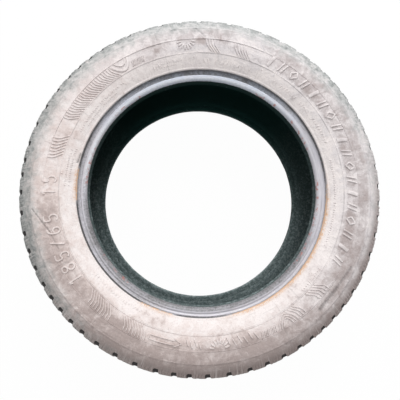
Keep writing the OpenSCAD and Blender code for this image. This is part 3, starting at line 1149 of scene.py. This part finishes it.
class TYRE_OT_beads(Operator):
    """Build the two beads and the inner liner between them"""

    bl_idname = "tyre.add_beads"
    bl_label = "Beads and liner"

    def execute(self, context):
        for side, name in ((UPPER, "bead_upper"), (LOWER, "bead_lower")):
            finish_piece(bead_ring(side, name), finish(bead_finish))
        finish_piece(liner_ring("inner_liner"), finish(liner_finish))
        return {"FINISHED"}


CAMERA_AT = (-30.7 * MM, -95.8 * MM, 653 * MM)
CAMERA_TURN = (math.radians(6.26), math.radians(-2.20), 0)
CAMERA_LENS = 32.25
CAMERA_SHIFT = (0.0053, 0.023)
KEY_AT = (0.3, 1.9, 1.5)
KEY_SIZE = 1.8
FILL_AT = (-0.6, -0.3, 2.2)
FILL_SIZE = 1.6
FLOOR_SIZE = 12
FLOOR_WHITE = 0.975


def add_lamp(name, place, size, power):
    """A square lamp that faces the middle of the tyre."""
    data = bpy.data.lights.new(name, "AREA")
    data.size, data.energy = size, power
    lamp = add_object(name, data)
    lamp.location = place
    aim = -lamp.location
    aim.z += MID_Z
    lamp.rotation_euler = aim.to_track_quat("-Z", "Y").to_euler()


def seen_directly(start):
    """1 for rays from the camera and for those that gloss or glass sends on, else 0."""
    path = start.node("ShaderNodeLightPath")
    outputs = path.socket.node.outputs
    seen, gloss, glass = (Signal(path.tree, outputs[n])
                          for n in ("Is Camera Ray", "Is Glossy Ray", "Is Transmission Ray"))
    return (seen + gloss + glass).clamp()


class TYRE_OT_stage(Operator):
    """Build the floor, the lamps, the surrounding light and the camera"""

    bl_idname = "tyre.add_stage"
    bl_label = "Stage"

    def execute(self, context):
        stage, scene = context.scene.tyre_stage, context.scene
        half = FLOOR_SIZE / 2
        corners = [(-half, -half, 0), (half, -half, 0), (half, half, 0), (-half, half, 0)]
        data = bpy.data.meshes.new("floor")
        data.from_pydata(corners, [], [(0, 1, 2, 3)])
        floor = add_object("floor", data)
        material = bpy.data.materials.new("pale_floor")
        start = empty_tree(material)
        matt = start.node("ShaderNodeBsdfDiffuse", inputs={"Color": colour(stage.floor)})
        white = start.node("ShaderNodeEmission", inputs={"Strength": 1.0})
        mixed = start.node("ShaderNodeMixShader",
                           inputs={0: seen_directly(start) * FLOOR_WHITE, 1: matt, 2: white})
        start.node("ShaderNodeOutputMaterial", inputs={"Surface": mixed})
        data.materials.append(material)

        add_lamp("key", KEY_AT, KEY_SIZE, stage.key)
        add_lamp("fill", FILL_AT, FILL_SIZE, stage.fill)

        scene.world = bpy.data.worlds.new("sky")
        start = empty_tree(scene.world)
        strength = seen_directly(start) * (1 - stage.sky) + stage.sky
        sky = start.node("ShaderNodeBackground", inputs={"Color": (1, 1, 1, 1), "Strength": strength})
        start.node("ShaderNodeOutputWorld", inputs={"Surface": sky})

        camera = add_object("camera", bpy.data.cameras.new("camera"))
        camera.location = (CAMERA_AT[0], CAMERA_AT[1], MID_Z + CAMERA_AT[2])
        camera.rotation_euler = CAMERA_TURN
        camera.data.lens = CAMERA_LENS
        camera.data.shift_x, camera.data.shift_y = CAMERA_SHIFT
        camera.data.clip_start = 0.01
        scene.camera = camera
        scene.view_settings.view_transform = "Standard"
        return {"FINISHED"}


STEPS = (TYRE_OT_stage, TYRE_OT_tread, TYRE_OT_sidewalls, TYRE_OT_marks, TYRE_OT_beads)


class TYRE_PT_panel(Panel):
    """Lists the tyre's pieces and sizes"""

    bl_label = "Worn Tyre"
    bl_idname = "TYRE_PT_panel"
    bl_space_type = "VIEW_3D"
    bl_region_type = "UI"
    bl_category = "Tyre"

    def draw(self, context):
        for step in STEPS:
            self.layout.operator(step.bl_idname)
        for group in (context.scene.tyre_sizes, context.scene.tyre_colours, context.scene.tyre_stage):
            box = self.layout.box()
            for name in type(group).__annotations__:
                box.prop(group, name)


CLASSES = (TyreSizes, TyreColours, TyreStage, *STEPS, TYRE_PT_panel)


def register():
    for item in CLASSES:
        bpy.utils.register_class(item)
    bpy.types.Scene.tyre_sizes = PointerProperty(type=TyreSizes)
    bpy.types.Scene.tyre_colours = PointerProperty(type=TyreColours)
    bpy.types.Scene.tyre_stage = PointerProperty(type=TyreStage)


def unregister():
    for name in ("tyre_stage", "tyre_colours", "tyre_sizes"):
        delattr(bpy.types.Scene, name)
    for item in reversed(CLASSES):
        bpy.utils.unregister_class(item)


def main():
    register()
    bpy.ops.tyre.add_stage()
    bpy.ops.tyre.add_tread()
    bpy.ops.tyre.add_sidewalls()
    bpy.ops.tyre.add_marks()
    bpy.ops.tyre.add_beads()


if __name__ == "__main__":
    main()
